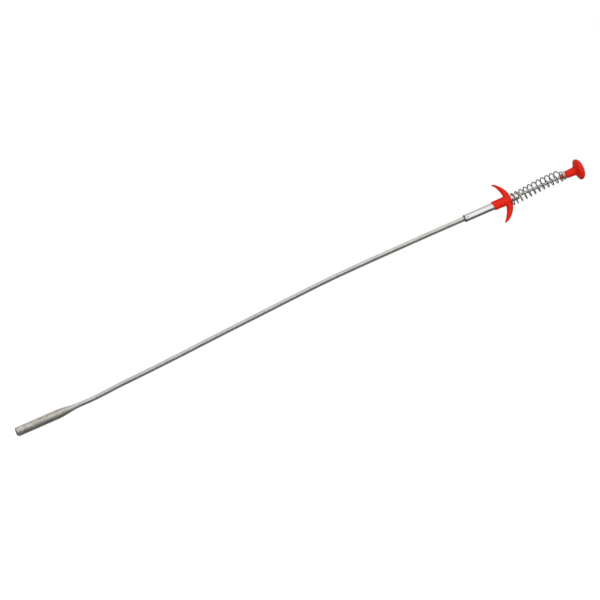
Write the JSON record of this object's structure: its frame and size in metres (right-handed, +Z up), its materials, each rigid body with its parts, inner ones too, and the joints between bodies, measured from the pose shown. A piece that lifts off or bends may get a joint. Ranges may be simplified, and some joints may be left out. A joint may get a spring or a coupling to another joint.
{
  "type": "reacher grabber",
  "caption": "Flexible spring-claw pick-up tool: thumb plunger, crescent finger grip and a bending coil shaft whose claws come out of a wider head and spread.",
  "frame": {"origin": "bottom centre of the box round the tool as it lies on a table, on its knob's rim and its head", "axes": "+X along the handle towards the thumb knob, -X towards the claws' mouth, +Z up, square to the finger grip's crescent"},
  "size_m": [0.61, 0.042, 0.021],
  "materials": {
    "red_plastic": "moulded, semi-gloss",
    "plated_steel": "bright plating, lightly brushed",
    "spring_steel": "bright drawn wire",
    "coil_steel": "close-wound wire, satin",
    "cable_steel": "stranded wire, dull",
    "claw_steel": "spring wire, satin"
  },
  "bodies": {
    "handle": {"finger_grip": "red_plastic", "neck_tube": "plated_steel", "return_spring": "spring_steel", "shaft_coil_1": "coil_steel", "core_cable_1": "cable_steel"},
    "plunger": {"thumb_knob": "red_plastic", "plunger_rod": "plated_steel"},
    "shaft_2": {"shaft_coil_2": "coil_steel", "core_cable_2": "cable_steel"},
    "shaft_3": {"shaft_coil_3": "coil_steel", "core_cable_3": "cable_steel"},
    "shaft_4": {"shaft_coil_4": "coil_steel", "core_cable_4": "cable_steel"},
    "shaft_5": {"shaft_coil_5": "coil_steel", "core_cable_5": "cable_steel"},
    "shaft_6": {"shaft_coil_6": "coil_steel", "core_cable_6": "cable_steel"},
    "head": {"shaft_coil_7": "coil_steel", "core_cable_7": "cable_steel", "head_coil": "coil_steel"},
    "carriage": {"claw_collar": "plated_steel", "cable_tail": "cable_steel"},
    "claw_1_arm": {"claw_1": "claw_steel"},
    "claw_2_arm": {"claw_2": "claw_steel"},
    "claw_3_arm": {"claw_3": "claw_steel"},
    "claw_4_arm": {"claw_4": "claw_steel"}
  },
  "joints": [
    {"name": "plunge", "type": "slide", "parent": "handle", "child": "plunger", "axis": [-1, 0, 0], "range_m": [0, 0.036], "stiffness_N_per_m": 200, "springref_m": -0.02, "deforming": ["return_spring"]},
    {"name": "flex_1", "type": "hinge", "parent": "handle", "child": "shaft_2", "pos_m": [0.145, 0.00132, 0.01038], "axis": [0, 0, 1], "range_deg": [-25, 25], "stiffness_Nm_per_rad": 0.6},
    {"name": "flex_2", "type": "hinge", "parent": "shaft_2", "child": "shaft_3", "pos_m": [0.085, 0.00065, 0.0097], "axis": [0, 1, 0], "range_deg": [-25, 25], "stiffness_Nm_per_rad": 0.6},
    {"name": "flex_3", "type": "hinge", "parent": "shaft_3", "child": "shaft_4", "pos_m": [0.025, -0.00095, 0.0086], "axis": [0, 0, 1], "range_deg": [-25, 25], "stiffness_Nm_per_rad": 0.6},
    {"name": "flex_4", "type": "hinge", "parent": "shaft_4", "child": "shaft_5", "pos_m": [-0.035, -0.00449, 0.00732], "axis": [0, 1, 0], "range_deg": [-25, 25], "stiffness_Nm_per_rad": 0.6},
    {"name": "flex_5", "type": "hinge", "parent": "shaft_5", "child": "shaft_6", "pos_m": [-0.095, -0.00817, 0.00609], "axis": [0, 0, 1], "range_deg": [-25, 25], "stiffness_Nm_per_rad": 0.6},
    {"name": "flex_6", "type": "hinge", "parent": "shaft_6", "child": "head", "pos_m": [-0.155, -0.01196, 0.00514], "axis": [0, 1, 0], "range_deg": [-25, 25], "stiffness_Nm_per_rad": 0.6},
    {"name": "carriage_slide", "type": "slide", "parent": "head", "child": "carriage", "axis": [-1, -0.0061, 0], "range_m": [0, 0.0361]},
    {"name": "claw_1_spread", "type": "hinge", "parent": "carriage", "child": "claw_1_arm", "pos_m": [-0.26869, -0.01768, 0.00626], "axis": [-0.0043, 0.7071, 0.7071], "range_deg": [0, 22.1], "deforming": ["claw_1"]},
    {"name": "claw_2_spread", "type": "hinge", "parent": "carriage", "child": "claw_2_arm", "pos_m": [-0.26871, -0.01457, 0.00626], "axis": [-0.0043, 0.7071, -0.7071], "range_deg": [0, 22.1], "deforming": ["claw_2"]},
    {"name": "claw_3_spread", "type": "hinge", "parent": "carriage", "child": "claw_3_arm", "pos_m": [-0.26871, -0.01457, 0.00314], "axis": [0.0043, -0.7071, -0.7071], "range_deg": [0, 22.1], "deforming": ["claw_3"]},
    {"name": "claw_4_spread", "type": "hinge", "parent": "carriage", "child": "claw_4_arm", "pos_m": [-0.26869, -0.01768, 0.00314], "axis": [0.0043, -0.7071, 0.7071], "range_deg": [0, 22.1], "deforming": ["claw_4"]}
  ],
  "couplings": [
    {"joint": "carriage_slide", "follows": "plunge", "ratio": 1},
    {"joint": "claw_1_spread", "follows": "plunge", "rad_per_m": 10.666},
    {"joint": "claw_2_spread", "follows": "plunge", "rad_per_m": 10.666},
    {"joint": "claw_3_spread", "follows": "plunge", "rad_per_m": 10.666},
    {"joint": "claw_4_spread", "follows": "plunge", "rad_per_m": 10.666}
  ]
}
